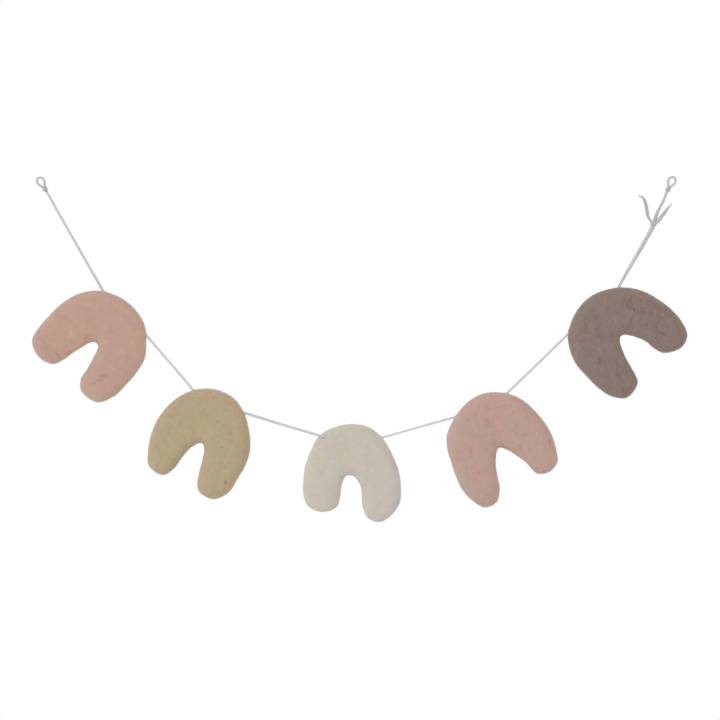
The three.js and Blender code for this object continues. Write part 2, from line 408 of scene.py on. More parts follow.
# Knots: the centre and the string's direction there, with strands as along, aside and forward
def knot_axes(knot):
    up = Vector((knot["up"][0], 0, knot["up"][1])).normalized()
    aside = Vector((up.z, 0, -up.x))
    return np.array([up, aside, Vector((0, -1, 0))])


def in_knot(knot, rows):
    """Points given along, aside and forward in the knot, in millimetres, as places."""
    centre = np.array([knot["x"], 0, knot["z"]])
    return (centre + np.asarray(rows, float) @ knot_axes(knot)) * MM


JOIN_KNOT = {"x": 297.6, "z": -46.5, "up": (0.42, 0.91)}
LEFT_LOOP_KNOT = {"x": -311.4, "z": -12.5, "up": (-0.5, 0.866)}
RIGHT_LOOP_KNOT = {"x": 311.8, "z": -12.4, "up": (0.42, 0.91)}

# A wrap's radius wavers, and it tucks in under the others over the last part of each end. The
# strand over the wraps swings past the front to both sides. Angles are in radians.
WRAP_POINTS = 14
WRAP_START = 0.8
WRAP_WAVER, WRAP_WAVES = 0.06, 3.1
TUCK, TUCK_FROM = 0.55, 0.85
CROSS_POINTS = 9
CROSS_SWING = 1.15
CROSS_DROP = 0.5
CROSS_LENGTH = 1.02
END_ROUNDING, END_FULLNESS = 0.35, 0.3
KNOT_GAP = 0.3 * MM
KNOT_TURN = 5 * MM


def wrapped_knot(knot, half_length, wrap_radius, turns, crossing, strand):
    """Two meshes of yarn: the wraps round the string, and the strand that crosses over them."""
    count = round(turns * WRAP_POINTS)
    wraps = []
    for i in range(count + 1):
        share = i / count
        angle = 2 * math.pi * turns * share + WRAP_START
        tuck = 1 - TUCK * max(0.0, abs(2 * share - 1) - TUCK_FROM) / (1 - TUCK_FROM)
        along = (2 * share - 1) * half_length
        radius = wrap_radius * tuck * (1 + WRAP_WAVER * math.sin(WRAP_WAVES * angle))
        wraps.append((along, radius * math.cos(angle), radius * math.sin(angle)))
    over = wrap_radius + crossing
    cross = []
    for share in np.linspace(-1, 1, CROSS_POINTS):
        angle = math.pi / 2 + CROSS_SWING * share
        along = CROSS_LENGTH * half_length * share
        radius = over - CROSS_DROP * crossing * abs(share) ** 3
        cross.append((along, radius * math.cos(angle), radius * math.sin(angle)))
    parts = []
    for rows in (wraps, cross):
        line = line_through(in_knot(knot, rows), KNOT_GAP)
        swell = np.sin(np.linspace(END_ROUNDING, math.pi - END_ROUNDING, len(line)))
        parts.append(yarn(line, strand * MM * swell**END_FULLNESS, KNOT_TURN))
    return parts


join_wraps = wrapped_knot(
    JOIN_KNOT, half_length=2.6, wrap_radius=2.05, turns=2.6, crossing=0.55, strand=1.0
)
join_knot = string_piece("tied_knot", join_wraps, string_look)
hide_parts("join_knot")

# Tails of the join knot, each from its knot to its free end, as x, y and z in millimetres
LIMP_TAIL = [
    (294.3, -1.2, -44.6),
    (291.5, -2.2, -40),
    (290.3, -2.8, -34),
    (289.2, -3, -28.5),
    (287.7, -2.8, -23.6),
    (285.3, -2.2, -20.6),
    (282.6, -1.6, -19.4),
]
FRAYED_TAIL = [
    (301.2, -1.6, -44.6),
    (305.6, -2.4, -39.6),
    (309.7, -2.8, -34),
    (312.6, -2.6, -30.4),
    (315, -2.4, -27.6),
]
LYING_TAIL = [
    (296.4, -2.4, -50.4),
    (294.3, -2.5, -54),
    (285.2, -2.5, -70.5),
    (274.5, -2.5, -89.8),
    (268.7, -2.4, -100.2),
]


STRAND_UNEVEN = 0.3
STRAND_TWIST = 2.2
STRAND_SPREAD = (0.75, 1.2)
STRAND_SIZE = (0.85, 1.15)
STRAND_TURN = 3 * MM


def strands(line, count, spreads, radii, stagger, seed):
    """Thin strands that follow the line. spreads and radii are given from its start to its end."""
    rng = np.random.default_rng(seed)
    across, over = sides_along(line)
    ahead = unit(line[-1] - line[-4])
    share = np.linspace(0, 1, len(line))
    spread = np.interp(share, np.linspace(0, 1, len(spreads)), spreads) * MM
    radius = np.interp(share, np.linspace(0, 1, len(radii)), radii) * MM
    parts = []
    for i in range(count):
        start = 2 * math.pi * (i + rng.uniform(-STRAND_UNEVEN, STRAND_UNEVEN)) / count
        angle = start + STRAND_TWIST * share[:, None]
        out = (spread * rng.uniform(*STRAND_SPREAD))[:, None]
        own = line + out * (np.cos(angle) * across + np.sin(angle) * over)
        own = own + ahead * stagger * MM * rng.uniform(-1, 1) * share[:, None] ** 3
        parts.append(yarn(own, radius * rng.uniform(*STRAND_SIZE), STRAND_TURN))
    return parts


# In the scene both tails start inside the knot
LIMP_ROOT, FRAYED_ROOT = (296.5, -0.8, -47.4), (298.2, -0.8, -48)
limp_line = line_through(np.array([LIMP_ROOT, *LIMP_TAIL]) * MM, RING_GAP)
limp_strands = strands(
    limp_line,
    count=3,
    spreads=(0.4, 0.7, 0.8, 0.8, 0.7),
    radii=(0.8, 0.9, 1.0, 1.0, 0.55),
    stagger=1.2,
    seed=5,
)
limp_tail = string_piece("limp_tail", limp_strands, string_look)
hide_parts("tail_limp")

frayed_line = line_through(np.array([FRAYED_ROOT, *FRAYED_TAIL]) * MM, RING_GAP)
frayed_strands = strands(
    frayed_line,
    count=6,
    spreads=(0.7, 1.4, 1.3, 0.8, 0.25),
    radii=(0.7, 0.85, 0.7, 0.45, 0.12),
    stagger=1.6,
    seed=6,
)
frayed_tail = string_piece("frayed_tail", frayed_strands, string_look)
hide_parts("tail_frayed")

lying_line = line_through(np.array(LYING_TAIL) * MM, RING_GAP)
LYING_FULLNESS, LYING_TAPER = 2.1, 1.55
lying_radii = LYING_FULLNESS - LYING_TAPER * np.linspace(0, 1, len(lying_line)) ** 2
lying_radii = wavering(lying_line, share=0.1, seed=4) * lying_radii
lying_tail = string_piece("lying_tail", [yarn(lying_line, lying_radii)], string_look)
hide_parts("tail_lying")

# A hanging loop, from its knot round to its knot again, as how far up and how far aside
LOOP_OUTLINE = [
    (3.5, -1.5),
    (6.4, -3.2),
    (9.4, -3.5),
    (12, -2.1),
    (12.8, 0),
    (12, 2.1),
    (9.4, 3.5),
    (6.4, 3.2),
    (3.5, 1.5),
]

# In the scene both legs of a loop start inside its knot
LOOP_ROOT, LOOP_LEG = 0.4, 0.9
LOOP_FULLNESS = 1.12


def hanging_loop(name, knot):
    outline = [(LOOP_ROOT, -LOOP_LEG), *LOOP_OUTLINE, (LOOP_ROOT, LOOP_LEG)]
    rows = [(along, aside, 0) for along, aside in outline]
    line = line_through(in_knot(knot, rows), RING_GAP)
    radii = LOOP_FULLNESS * wavering(line, share=0.08, seed=3)
    return string_piece(name, [yarn(line, radii)], string_look)


loop_pieces = []
for side, knot in (("left", LEFT_LOOP_KNOT), ("right", RIGHT_LOOP_KNOT)):
    loop = hanging_loop(f"hanging_loop_{side}", knot)
    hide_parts(f"loop_{side}")
    wraps = wrapped_knot(
        knot, half_length=2.3, wrap_radius=1.95, turns=2.7, crossing=0.4, strand=0.85
    )
    tied = string_piece(f"tied_loop_knot_{side}", wraps, string_look)
    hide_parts(f"loop_knot_{side}")
    loop_pieces += [loop, tied]

# Felt arches. place is where an arch's own zero lies in the garland, as x and z, and a toe is the
# tip of a foot. colour is in screen levels. grain is how strong the wool's light and dark are, and
# hue how strong its patches of other colours are. strokes is how many random strokes a face has,
# and stroke_shade how much lighter or darker they are: partly the wool's own streaks, partly painted
# shade in the pressed-in strokes and painted light on the raised ones. A rib goes across the felt
# from its outer edge to its inner edge, and the ribs follow each other from the left foot over the
# crown to the right foot.
ARCH_COLUMNS = (
    "name", "place", "left_toe", "right_toe", "colour", "grain", "hue", "strokes", "stroke_shade"
)
ARCH_ROWS = [
    ("dusty_pink", (-266.4, -163.5), (-51.6, -16.6), (7.5, -62.2), (191, 158, 143), 0.6, 0.8, 10, 0.06),
    ("olive", (-156.4, -263.5), (-36.5, -35), (13.5, -59.2), (181, 163, 133), 0.7, 0.6, 10, 0.06),
    ("cream", (-6.4, -298.5), (-27.5, -37), (30.4, -46.8), (198, 190, 178), 0.3, 0.45, 4, 0.03),
    ("rose", (143.6, -273.5), (-15, -57.5), (49.4, -21.8), (188, 156, 145), 0.6, 0.7, 12, 0.06),
    ("taupe", (273.6, -163.5), (-3.3, -57.6), (50.4, -8.3), (137, 119, 111), 1.3, 0.7, 70, 0.12),
]
ARCHES = [dict(zip(ARCH_COLUMNS, row)) for row in ARCH_ROWS]

RIB_COLUMNS = ("outer_x", "outer_z", "inner_x", "inner_z")
RIBS = {}
RIBS["dusty_pink"] = [
    (-57.9, -0.9, -37.5, -24),
    (-49.4, 14.8, -25.8, -19.4),
    (-41.6, 23.6, -17.4, -13.2),
    (-30.2, 35, -8.6, -7.6),
    (-14, 45.1, -1.7, -3.5),
    (6, 49.4, 2.8, -2.1),
    (26.6, 44.3, 5.5, -2.7),
    (43.8, 32.1, 7.4, -4.5),
    (54.4, 15.6, 8.2, -7),
    (56.2, -1, 6.8, -10.8),
    (54.5, -18.9, 3.1, -18.2),
    (46.1, -33.3, -2.8, -29),
    (35.2, -46, -9.2, -39.1),
    (24.2, -56.3, -8.6, -51.2),
]
RIBS["olive"] = [
    (-50.9, -26.3, -25.3, -27.9),
    (-52.2, -12, -19.2, -19.4),
    (-50, 1.4, -12.3, -10.7),
    (-44.6, 16.5, -7.1, -6.3),
    (-35.5, 30.4, -2.7, -3.9),
    (-20.2, 43.9, -0.7, -3.1),
    (0.1, 51.2, 1.1, -3.1),
    (18.9, 49.7, 2.8, -4.2),
    (35.3, 40.3, 4.1, -6.8),
    (45.3, 23.9, 4.2, -11.5),
    (49.4, 6.9, 2.8, -17.9),
    (50.1, -10, 0.8, -25.9),
    (45.6, -24.8, -1.2, -34.4),
    (37.7, -38.8, -2.8, -43.5),
    (28.9, -52.2, -0.6, -52.1),
]
RIBS["cream"] = [
    (-42.2, -30.9, -13.6, -32.1),
    (-46.9, -17, -9.5, -20.5),
    (-46.7, -6, -8.4, -10.5),
    (-45.2, 7, -6.2, -4.4),
    (-40.1, 21.8, -4.2, -1.3),
    (-31.5, 38.2, -2.5, -0.6),
    (-16.6, 47.5, -0.8, -0.5),
    (2, 51.1, 0.6, -0.5),
    (20.1, 47.1, 2.8, -1),
    (33.9, 34.9, 5.3, -2.7),
    (43.4, 18, 7.8, -5.8),
    (49.5, 1, 10.8, -12),
    (51, -15, 11.9, -21.5),
    (49.9, -27.5, 12.4, -31.2),
    (42.3, -39.3, 18.1, -43.4),
]
RIBS["rose"] = [
    (-26.7, -51.7, -3.4, -52),
    (-36.8, -41.2, -0.2, -38.5),
    (-43.3, -28.5, -2, -28.6),
    (-48.8, -12.6, -4, -18),
    (-52.9, 1.9, -4.2, -8),
    (-52.7, 16.8, -3, -1),
    (-45.6, 31.4, -1.7, 1.4),
    (-34.5, 46, 0, 2.2),
    (-18.5, 55.8, 2, 2),
    (-0.1, 57.5, 4.7, 1.1),
    (18.7, 52.2, 8.8, -0.5),
    (34.4, 39.9, 13.6, -3.5),
    (46.2, 25.3, 19.3, -7.5),
    (52.2, 14, 25, -11.6),
    (56.2, 0.4, 29.9, -16.9),
    (57.3, -12, 36.9, -23.5),
]
RIBS["taupe"] = [
    (-19.7, -55.8, 7.6, -42.5),
    (-32.3, -47.4, 0.3, -25.9),
    (-42.9, -36.7, -4.3, -17.6),
    (-53.7, -24.5, -7.5, -10),
    (-60, -10.4, -9.5, -4),
    (-62.1, 4, -10, 0),
    (-58.3, 19.7, -9.8, 2.3),
    (-50.2, 33.5, -9, 3.9),
    (-37.2, 45, -7.5, 4.9),
    (-20.5, 51.1, -5.3, 5.3),
    (-2.1, 52.3, -2.3, 5),
    (15.2, 47.9, 2.1, 4),
    (29.5, 39.8, 8.5, 2),
    (42.1, 29.7, 16, -1.5),
    (52, 18, 23.1, -7.8),
    (57.4, 4, 34, -12.9),
]

# How flat the felt's face is before it rolls over into the round edge: 2 is an ellipse
FACE_FLATNESS = 4
ROUND_END = 2
SECTION_POINTS = 120
SECTIONS_PER_RIB = 16


def arch_skin(arch):
    """Vertices and faces of one plain arch: rings round the felt from toe to toe."""
    ribs = np.array(RIBS[arch["name"]], float)
    outer = ribs[:, [RIB_COLUMNS.index("outer_x"), RIB_COLUMNS.index("outer_z")]]
    inner = ribs[:, [RIB_COLUMNS.index("inner_x"), RIB_COLUMNS.index("inner_z")]]
    outline = np.vstack([arch["left_toe"], outer, arch["right_toe"], inner[::-1]])
    toe_to_toe = len(ribs) + 1

    def rib_at(places):
        edge = curve_at(outline, places, True)
        far_edge = curve_at(outline, len(outline) - np.asarray(places, float), True)
        return (edge + far_edge) / 2, (edge - far_edge) / 2

    places = np.arange(1, toe_to_toe * SECTIONS_PER_RIB) / SECTIONS_PER_RIB
    centres, halves = rib_at(places)
    widths = np.linalg.norm(halves, axis=1)
    _, (left_half, right_half) = rib_at([ROUND_END, toe_to_toe - ROUND_END])
    fullness = np.ones(len(places))
    at_left, at_right = places < ROUND_END, places > toe_to_toe - ROUND_END
    fullness[at_left] = widths[at_left] / np.linalg.norm(left_half)
    fullness[at_right] = widths[at_right] / np.linalg.norm(right_half)
    fullness = np.minimum(1, fullness)[:, None]
    angle = np.linspace(0, 2 * math.pi, SECTION_POINTS, endpoint=False)[None, :]
    across = np.cos(angle)
    from_middle = np.sqrt(1 - fullness**2 * (1 - across**2))
    depth = np.sqrt(np.maximum(0, 1 - from_middle**FACE_FLATNESS)) * np.sign(np.sin(angle))
    flat = centres[:, None, :] + across[..., None] * halves[:, None, :]
    rings = np.empty(flat.shape[:2] + (3,))
    rings[..., 0] = (flat[..., 0] + arch["place"][0]) * MM
    rings[..., 1] = depth * FELT_THICKNESS / 2
    rings[..., 2] = (flat[..., 1] + arch["place"][1]) * MM
    toes = [
        ((x + arch["place"][0]) * MM, 0, (z + arch["place"][1]) * MM)
        for x, z in (arch["left_toe"], arch["right_toe"])
    ]
    vertices = np.vstack([rings.reshape(-1, 3), toes])
    return vertices, tube_faces(len(rings), SECTION_POINTS)


def normals_of(mesh):
    found = np.empty(len(mesh.vertices) * 3)
    mesh.vertex_normals.foreach_get("vector", found)
    return found.reshape(-1, 3)


def places_of(mesh):
    found = np.empty(len(mesh.vertices) * 3)
    mesh.vertices.foreach_get("co", found)
    return found.reshape(-1, 3)


SHIFT_PER_SEED = (7.3, 3.1, 5.7)


def lumps(places, size, seed):
    """A smooth uneven field over the places, about -1 to 1, with lumps of that size."""
    shift = Vector([seed * step for step in SHIFT_PER_SEED])
    return np.array([noise.noise(Vector(place) / size + shift) for place in places])


def gaussian_spot(x, z, mark):
    """How much of a mark lies at each place, from 0 to 1, with x and z in the arch's own place."""
    turn = math.radians(mark["angle"])
    right, up = x - mark["x"], z - mark["z"]
    along = (right * math.cos(turn) + up * math.sin(turn)) / (mark["length"] / 2)
    across = (up * math.cos(turn) - right * math.sin(turn)) / (mark["width"] / 2)
    return np.exp(-(along**2) - across**2)


# A mark's dent presses the felt in, and its shade, red and blue change its colour there. The shade of a
# dented mark is partly the wool's own darker speck and partly painted shade in the dent, and a raised
# mark is lighter, partly as painted light on it. Broad patches with no dent that lighten or darken the
# rims and the notch's edges are painted light and shade; elsewhere they are a tone that differs.
MARK_COLUMNS = ("x", "z", "length", "width", "angle", "dent", "shade", "red", "blue")
MARKS = {}
MARKS["dusty_pink"] = [
    (13.9, -35.8, 9, 2.2, 12, 0.35, -0.13, 0, 0),
    (11, -40.5, 5, 2, 20, 0.25, -0.12, 0, 0),
    (4.3, -43, 7, 1.6, 0, 0.2, -0.12, 0, 0),
    (-32.1, -14.5, 6, 2, -55, 0.4, -0.19, 0, -0.03),
    (-44.2, -9.3, 14, 9, -15, 0.3, -0.05, 0, 0),
    (-27.5, -17.5, 12, 5, 35, 0.1, 0, 0.01, -0.05),
    (-21.7, -12.8, 6, 3, 25, 0.2, -0.06, 0.04, 0.02),
    (-8.7, 30.5, 6, 2.2, 5, 0.25, -0.01, 0, 0),
    (-26.4, 15, 7, 2.5, 0, 0.2, -0.03, 0, 0),
    (-3.6, 18.6, 6, 2, 5, 0.25, -0.04, 0, 0.01),
    (-2.7, 3, 12, 7, 10, 0.1, -0.01, 0.01, -0.05),
    (19.9, 32, 5, 16, 0, 0.15, -0.01, 0, 0.03),
    # These five lighten the right rim, the lower right and the toe and darken the left rim and the
    # upper left: painted light and shade
    (56, -9, 13, 52, 0, 0, 0.035, 0.01, -0.01),
    (-54, 8, 20, 24, 0, 0, -0.05, -0.03, 0),
    (-35, 28, 24, 16, 45, 0, -0.02, 0, 0),
    (38, -45, 14, 20, -40, 0, 0.025, -0.03, 0),
    (4, -60, 18, 10, 0, 0, 0.04, 0, 0),
    # Painted light with a warm colour on the shaded upper edge of the notch
    (-15, -8, 28, 8, 28, 0, 0.04, 0.04, -0.08),
    (-3.3, 2.5, 4, 2.4, 30, 0.2, -0.12, 0.04, -0.03),
    (-20.8, -12.5, 2.4, 2, 0, 0.2, -0.12, 0.02, 0.04),
    (43, -5, 1.8, 22, -4, -0.2, 0.04, 0, 0),
    (46.7, -21.7, 2, 5, -20, 0.2, -0.08, 0.04, 0),
    (36.7, -33.3, 2, 5, -30, 0.2, -0.08, 0, 0),
    (52, 8, 6, 18, 5, 0, -0.01, 0, -0.05),
    (2, -54, 12, 10, 0, 0, 0.01, -0.035, 0),
    (-24, 15, 3, 2, 0, -0.2, 0.05, 0, 0),
    (3, -6, 12, 8, 0, 0, 0.025, 0, 0),
    (19, -9, 18, 18, 0, 0, 0, 0, -0.035),
    (-44, 21, 16, 9, 50, 0, 0.01, -0.01, 0.02),
    (10, 0, 18, 14, 0, 0, 0.01, 0.02, 0.01),
    (30, -25, 10, 26, -35, 0.2, -0.02, 0.02, 0),
    (0, 40, 30, 10, 5, 0, 0, -0.01, -0.02),
]
MARKS["olive"] = [
    (22, -7, 2, 1.8, 0, 0.3, -0.29, 0, 0),
    (29.8, 7, 7, 1.5, 88, 0.25, -0.1, 0, 0),
    (30.3, -1, 6, 1.5, 85, 0.3, -0.12, 0, 0),
    (25.8, -41.7, 5, 2.2, 80, 0.35, -0.2, 0, 0.02),
    (4.8, 30, 5, 2, 85, 0.2, -0.09, 0, 0),
    (13.8, 29.2, 4, 2, 60, 0.15, -0.02, 0, 0.02),
    (18, 19.2, 4, 2, 60, 0.3, -0.1, 0, 0),
    (23, 18.3, 7, 1.8, 8, -0.25, 0.06, 0, 0.02),
    (24, 14.9, 8, 6, 0, 0.3, -0.04, 0, 0.02),
    (-14, -4, 16, 9, 40, 0.2, -0.04, 0, -0.11),
    (4, 4, 12, 6, 0, 0, 0.025, 0, -0.02),
    (-26.6, -21.3, 6, 13, -40, 0, -0.08, 0.04, -0.06),
    (29, 22, 6, 1.5, 40, -0.2, 0.02, 0, 0),
    (7.5, 44.7, 22, 10, 0, 0, 0, 0.035, 0.01),
    (36, 34, 7, 13, 30, 0, 0, 0.045, -0.01),
    (42, 22, 6, 13, 15, 0, 0, 0.045, -0.01),
    (22.9, 0.5, 7, 12, 0, 0, 0, 0.03, 0.01),
    (11.6, -21.2, 9, 20, 5, 0, 0.01, 0.04, 0),
    (33.3, -37.3, 9, 14, -35, 0, -0.03, 0.04, -0.04),
    (25.3, -46, 9, 9, 0, 0, 0, 0.03, 0.02),
    (4.5, -52, 12, 9, 0, 0, 0.01, -0.03, -0.02),
    (-45, -12, 8, 26, 0, 0, 0.01, -0.015, -0.01),
    (-45, 10, 14, 20, 0, 0, 0, 0, 0.04),
    (-24, 30, 24, 18, 45, 0, -0.02, 0.01, 0.04),
    (-9, 46, 20, 14, 20, 0, -0.015, 0, 0),
    # Painted shade on the right rim
    (46, -6, 16, 56, 0, 0, -0.03, 0, 0),
    (9, 8, 18, 20, 0, 0, 0.025, 0, 0),
    (-5, 10, 9, 18, 0, 0, -0.015, 0, -0.02),
    (46, -21, 9, 32, -12, 0, -0.015, 0.01, -0.06),
    (-12, 10, 16, 14, 0, 0, 0, 0, -0.03),
]
MARKS["cream"] = [
    (-36.2, 11, 13, 20, 0, 0, 0, -0.02, -0.07),
    (-29, 17, 13, 24, -15, 0, 0, 0, -0.05),
    (-41, -4, 11, 18, 0, 0, 0, -0.03, -0.07),
    (-41, -20, 10, 18, 0, 0, 0, -0.025, -0.01),
    (17.3, -22, 8, 22, 0, 0, 0, -0.03, -0.04),
    (18.5, -38, 9, 12, 0, 0, 0, -0.03, -0.02),
    (44, -25, 12, 38, 0, 0, -0.005, 0, 0.075),
    (31, -44, 20, 8, 0, 0, 0, -0.02, 0.03),
    # Painted light where the string goes in, lifting the shade under it
    (-26, 38, 10, 6, -20, 0, 0.03, 0, 0.03),
    (30.8, 33.1, 22, 12, -30, 0, -0.01, 0.02, -0.01),
    (43.6, 11, 7, 20, 10, 0, -0.02, 0.05, 0.02),
    (-11.8, -18, 6, 18, 0, 0, 0.005, 0.03, 0),
    (-12.8, 45, 14, 8, 20, 0, 0, -0.03, -0.03),
    (15, 46.5, 12, 7, -20, 0, -0.01, -0.03, -0.02),
    (-42, 29, 8, 16, -25, 0, 0, 0.01, 0.04),
    (4, 10, 30, 20, 0, 0, 0, 0.015, 0),
    (-2, 2.8, 10, 2.4, -12, 0.2, -0.03, 0, -0.05),
    (-10, 24, 32, 16, 0, 0, -0.012, 0, -0.03),
    (16, 41, 20, 12, -20, 0, -0.018, 0, 0),
    # These three lighten the right rim, the notch's right edge and the left limb's outer side: painted
    # light
    (53, -12, 12, 20, 0, 0, 0.01, 0, 0),
    (17, -30, 12, 16, 0, 0, 0.02, 0, 0),
    (-38, -14, 14, 44, 0, 0, 0.01, 0, 0),
    (-18, 43, 14, 10, 20, 0, -0.01, 0, 0),
    (37, -26, 17, 24, 0, 0, 0, 0.01, 0.045),
    (47, -27.7, 2.4, 2, 0, 0.2, -0.12, 0, 0.02),
    (35.5, -42, 5, 3, 30, 0.1, 0, 0, 0),
    (-30.5, -36, 10, 3, -8, 0.2, -0.04, 0, 0),
]
MARKS["rose"] = [
    (-14, 42.3, 6, 5, 70, 0.4, -0.05, -0.02, 0),
    (-14.2, 30.7, 5, 4, 60, 0.4, -0.07, -0.02, 0),
    (-13, 24.9, 8, 6, 80, 0.4, -0.05, -0.01, 0),
    (-18.8, 14.5, 9, 3, 5, 0.3, -0.07, 0, 0),
    (-30.4, -1, 4, 9, 10, 0.3, -0.11, 0.06, 0),
    (-42.9, -0.4, 10, 4, 0, 0.25, -0.05, 0.03, 0),
    (-31.2, 30.7, 1.8, 1.8, 0, 0.2, -0.04, 0, 0),
    (-28.3, 34, 7, 4, 20, 0.15, 0, 0.04, 0),
    (-1.8, 32.8, 7, 2.5, 20, 0.25, -0.04, 0, 0),
    (23.5, 15.3, 6, 4, 10, 0.4, -0.07, -0.01, 0),
    (16.8, 8.7, 4, 2.6, 0, -0.3, 0.05, 0, 0),
    (48.8, 8.7, 2.2, 7, 0, 0.35, -0.13, 0, 0.04),
    (38.8, 28.2, 9, 8, 0, 0, -0.02, -0.01, -0.08),
    (45.4, 15.8, 7, 11, 20, 0, -0.01, 0.05, 0),
    (-21.3, -22.8, 3, 4, 0, 0.2, -0.1, 0.05, 0),
    (-7, 8, 12, 8, 20, 0.3, -0.035, -0.02, 0),
    (-5, -7, 5, 16, 5, 0.2, -0.05, -0.02, 0.02),
    (2, 3.3, 9, 1.6, -3, 0.3, -0.11, 0, 0),
    (35.5, -18.2, 3, 3, 0, 0.25, -0.1, 0, 0),
    (19.3, 4.3, 8, 4, -30, 0.2, -0.05, 0.02, 0.05),
    (10.7, 40.7, 7, 1.6, 0, -0.2, 0.05, 0, 0),
    (16.4, 49.3, 2, 6, 0, -0.2, 0.01, 0.04, 0),
    (15, 23, 9, 9, 0, 0.2, -0.02, -0.035, 0),
    (20.2, 49.3, 3, 3, 0, 0.2, -0.05, 0, 0.05),
    (-16.7, 54.7, 3, 2.4, 0, 0.2, -0.04, 0, 0.05),
    (5, 52, 34, 7, -5, 0, 0, 0.04, -0.04),
    (23, 48, 8, 10, 0, 0, -0.02, 0.06, 0.04),
    (-34, 24, 14, 22, 0, 0, 0, -0.01, -0.04),
    # These four lighten the left rim and darken the right rim: painted light and shade
    (-48, 26, 14, 34, -20, 0, 0.015, -0.03, 0.04),
    (-46, -18, 14, 26, 15, 0, 0.01, -0.035, 0),
    (-48, 8, 16, 34, 0, 0, 0.02, 0, 0),
    (46, 14, 14, 26, 15, 0, -0.015, 0, 0),
    (10, 0, 26, 14, -25, 0, -0.012, 0, 0),
    # Painted shade at the bottom of the left foot
    (-10, -50, 22, 18, 0, 0, -0.02, 0, 0),
    (-13, -55, 22, 12, -15, 0, 0, -0.05, 0.025),
    (44, 32, 14, 26, 40, 0, 0, 0.04, -0.035),
    (-2, 20, 10, 10, 0, 0, 0, 0.03, 0.02),
    (-3, -38, 9, 24, 0, 0, -0.02, 0.03, 0),
    (-33, -34, 12, 32, 25, 0, 0, -0.05, -0.01),
    (54, -9, 8, 20, 0, 0, -0.01, 0.03, 0),
    (14, 20, 12, 12, 0, 0, 0, -0.02, -0.02),
]
MARKS["taupe"] = [
    (-4, 34.6, 2.2, 3, 0, 0.4, -0.12, 0, 0),
    (-6.7, 39.5, 2, 1.8, 0, 0.3, -0.24, 0, 0),
    (-1.7, 40.5, 1.8, 5, 0, 0.2, -0.12, 0, 0),
    (3.2, 30.4, 1.8, 3.4, 5, 0.35, -0.34, 0, 0.02),
    (12.3, 27.3, 12, 1.8, -5, 0.4, -0.15, 0, 0),
    (14.6, 9.7, 2, 2, 0, 0.35, -0.15, 0, 0),
    (17.8, 10.6, 1.6, 2, 0, 0.2, -0.1, 0, 0),
    (32.7, 6, 8, 1.6, -35, 0.3, -0.16, 0, 0),
    (29, 7.5, 7, 1.5, -40, 0.2, -0.1, 0, 0),
    (20, 38.5, 11, 5, -25, 0.1, -0.05, -0.03, -0.03),
    (51, -3.5, 3, 2.4, 0, 0.2, -0.26, -0.04, 0.04),
    (23, 24, 10, 5, -30, 0.2, -0.02, 0, 0),
    (-14.5, -34.7, 4, 1.8, -30, 0.3, -0.1, 0, 0),
    (-37, 19, 2.2, 9, 0, 0.3, -0.06, 0.07, 0),
    (-32.1, -20.2, 2.4, 8, 4, 0.3, -0.14, 0.02, 0),
    (-41, 1, 2, 16, 2, 0.2, -0.06, 0, 0),
    (-26.5, -18, 5, 12, 0, 0.2, -0.05, -0.02, -0.02),
    (31.3, 25.5, 3, 1.6, 5, -0.2, 0.25, 0, 0),
    (2.8, 7.7, 2, 1.6, 0, -0.2, 0.2, 0, 0),
    (-25.3, 22, 8, 1.6, 40, -0.2, 0.08, 0, 0),
    (-21.5, 18, 8, 1.6, 45, -0.2, 0.07, 0, 0),
    (-24.4, 10, 1.8, 14, -2, -0.2, 0.04, 0, 0),
    (-31.6, -12, 1.8, 16, -3, -0.2, 0.08, 0, 0),
    (-36.5, 7, 1.8, 14, 3, -0.2, 0.06, 0, 0),
    (34, 28, 22, 14, -30, 0, -0.03, 0.035, 0),
    (24, 34, 24, 10, -30, 0, -0.03, 0, 0),
    (-30, 35, 18, 10, 30, 0, 0, 0.025, 0.01),
    # These two lighten the left rim: painted light
    (-54, -22, 14, 26, 25, 0, 0.045, 0, 0),
    (-55, 4, 16, 44, 0, 0, 0.03, 0, 0),
    (15, 29, 18, 12, -10, 0, -0.02, 0, 0),
    (18, 47, 18, 8, -20, 0, 0.02, 0, 0),
    # Painted shade on the right rim
    (50, 6, 18, 26, 0, 0, -0.02, 0, 0),
    (-19, -26, 14, 14, 0, 0, 0.025, 0, 0),
    (-19, -7, 18, 18, 0, 0, 0.025, 0, 0),
    (-20, 25, 7, 9, 30, 0, 0, -0.035, 0),
    (-53.4, -10, 10, 14, 0, 0, 0, 0.04, 0),
    (51.7, 4, 9, 20, 15, 0, 0.01, 0.06, 0.01),
    (-8.1, -52, 16, 9, 0, 0, 0, 0.05, -0.01),
    (-10, -8, 8, 20, -10, 0, 0, 0.03, 0.02),
    (-22, 32, 30, 12, 30, 0, 0, 0.03, 0),
    (-25.3, 46, 20, 8, 15, 0, 0.01, -0.02, -0.05),
    (-52, 16, 8, 22, 0, 0, 0.01, -0.02, -0.04),
    (-40, -40, 10, 34, -42, 0, 0, -0.06, 0.04),
    (-22, -47, 18, 10, -30, 0, 0, -0.03, 0.02),
    (-5, -30, 16, 14, 0, 0, 0, -0.02, -0.02),
    (22, 17, 20, 12, -20, 0, -0.01, 0.01, 0),
    (2, 47, 26, 6, 0, 0, 0, -0.01, -0.02),
]


MARK_DEPTH = 1.7
# How strongly a mark's shade changes the colour: tone, and the painted light and shade of the marks
MARK_SHADE = 1.6

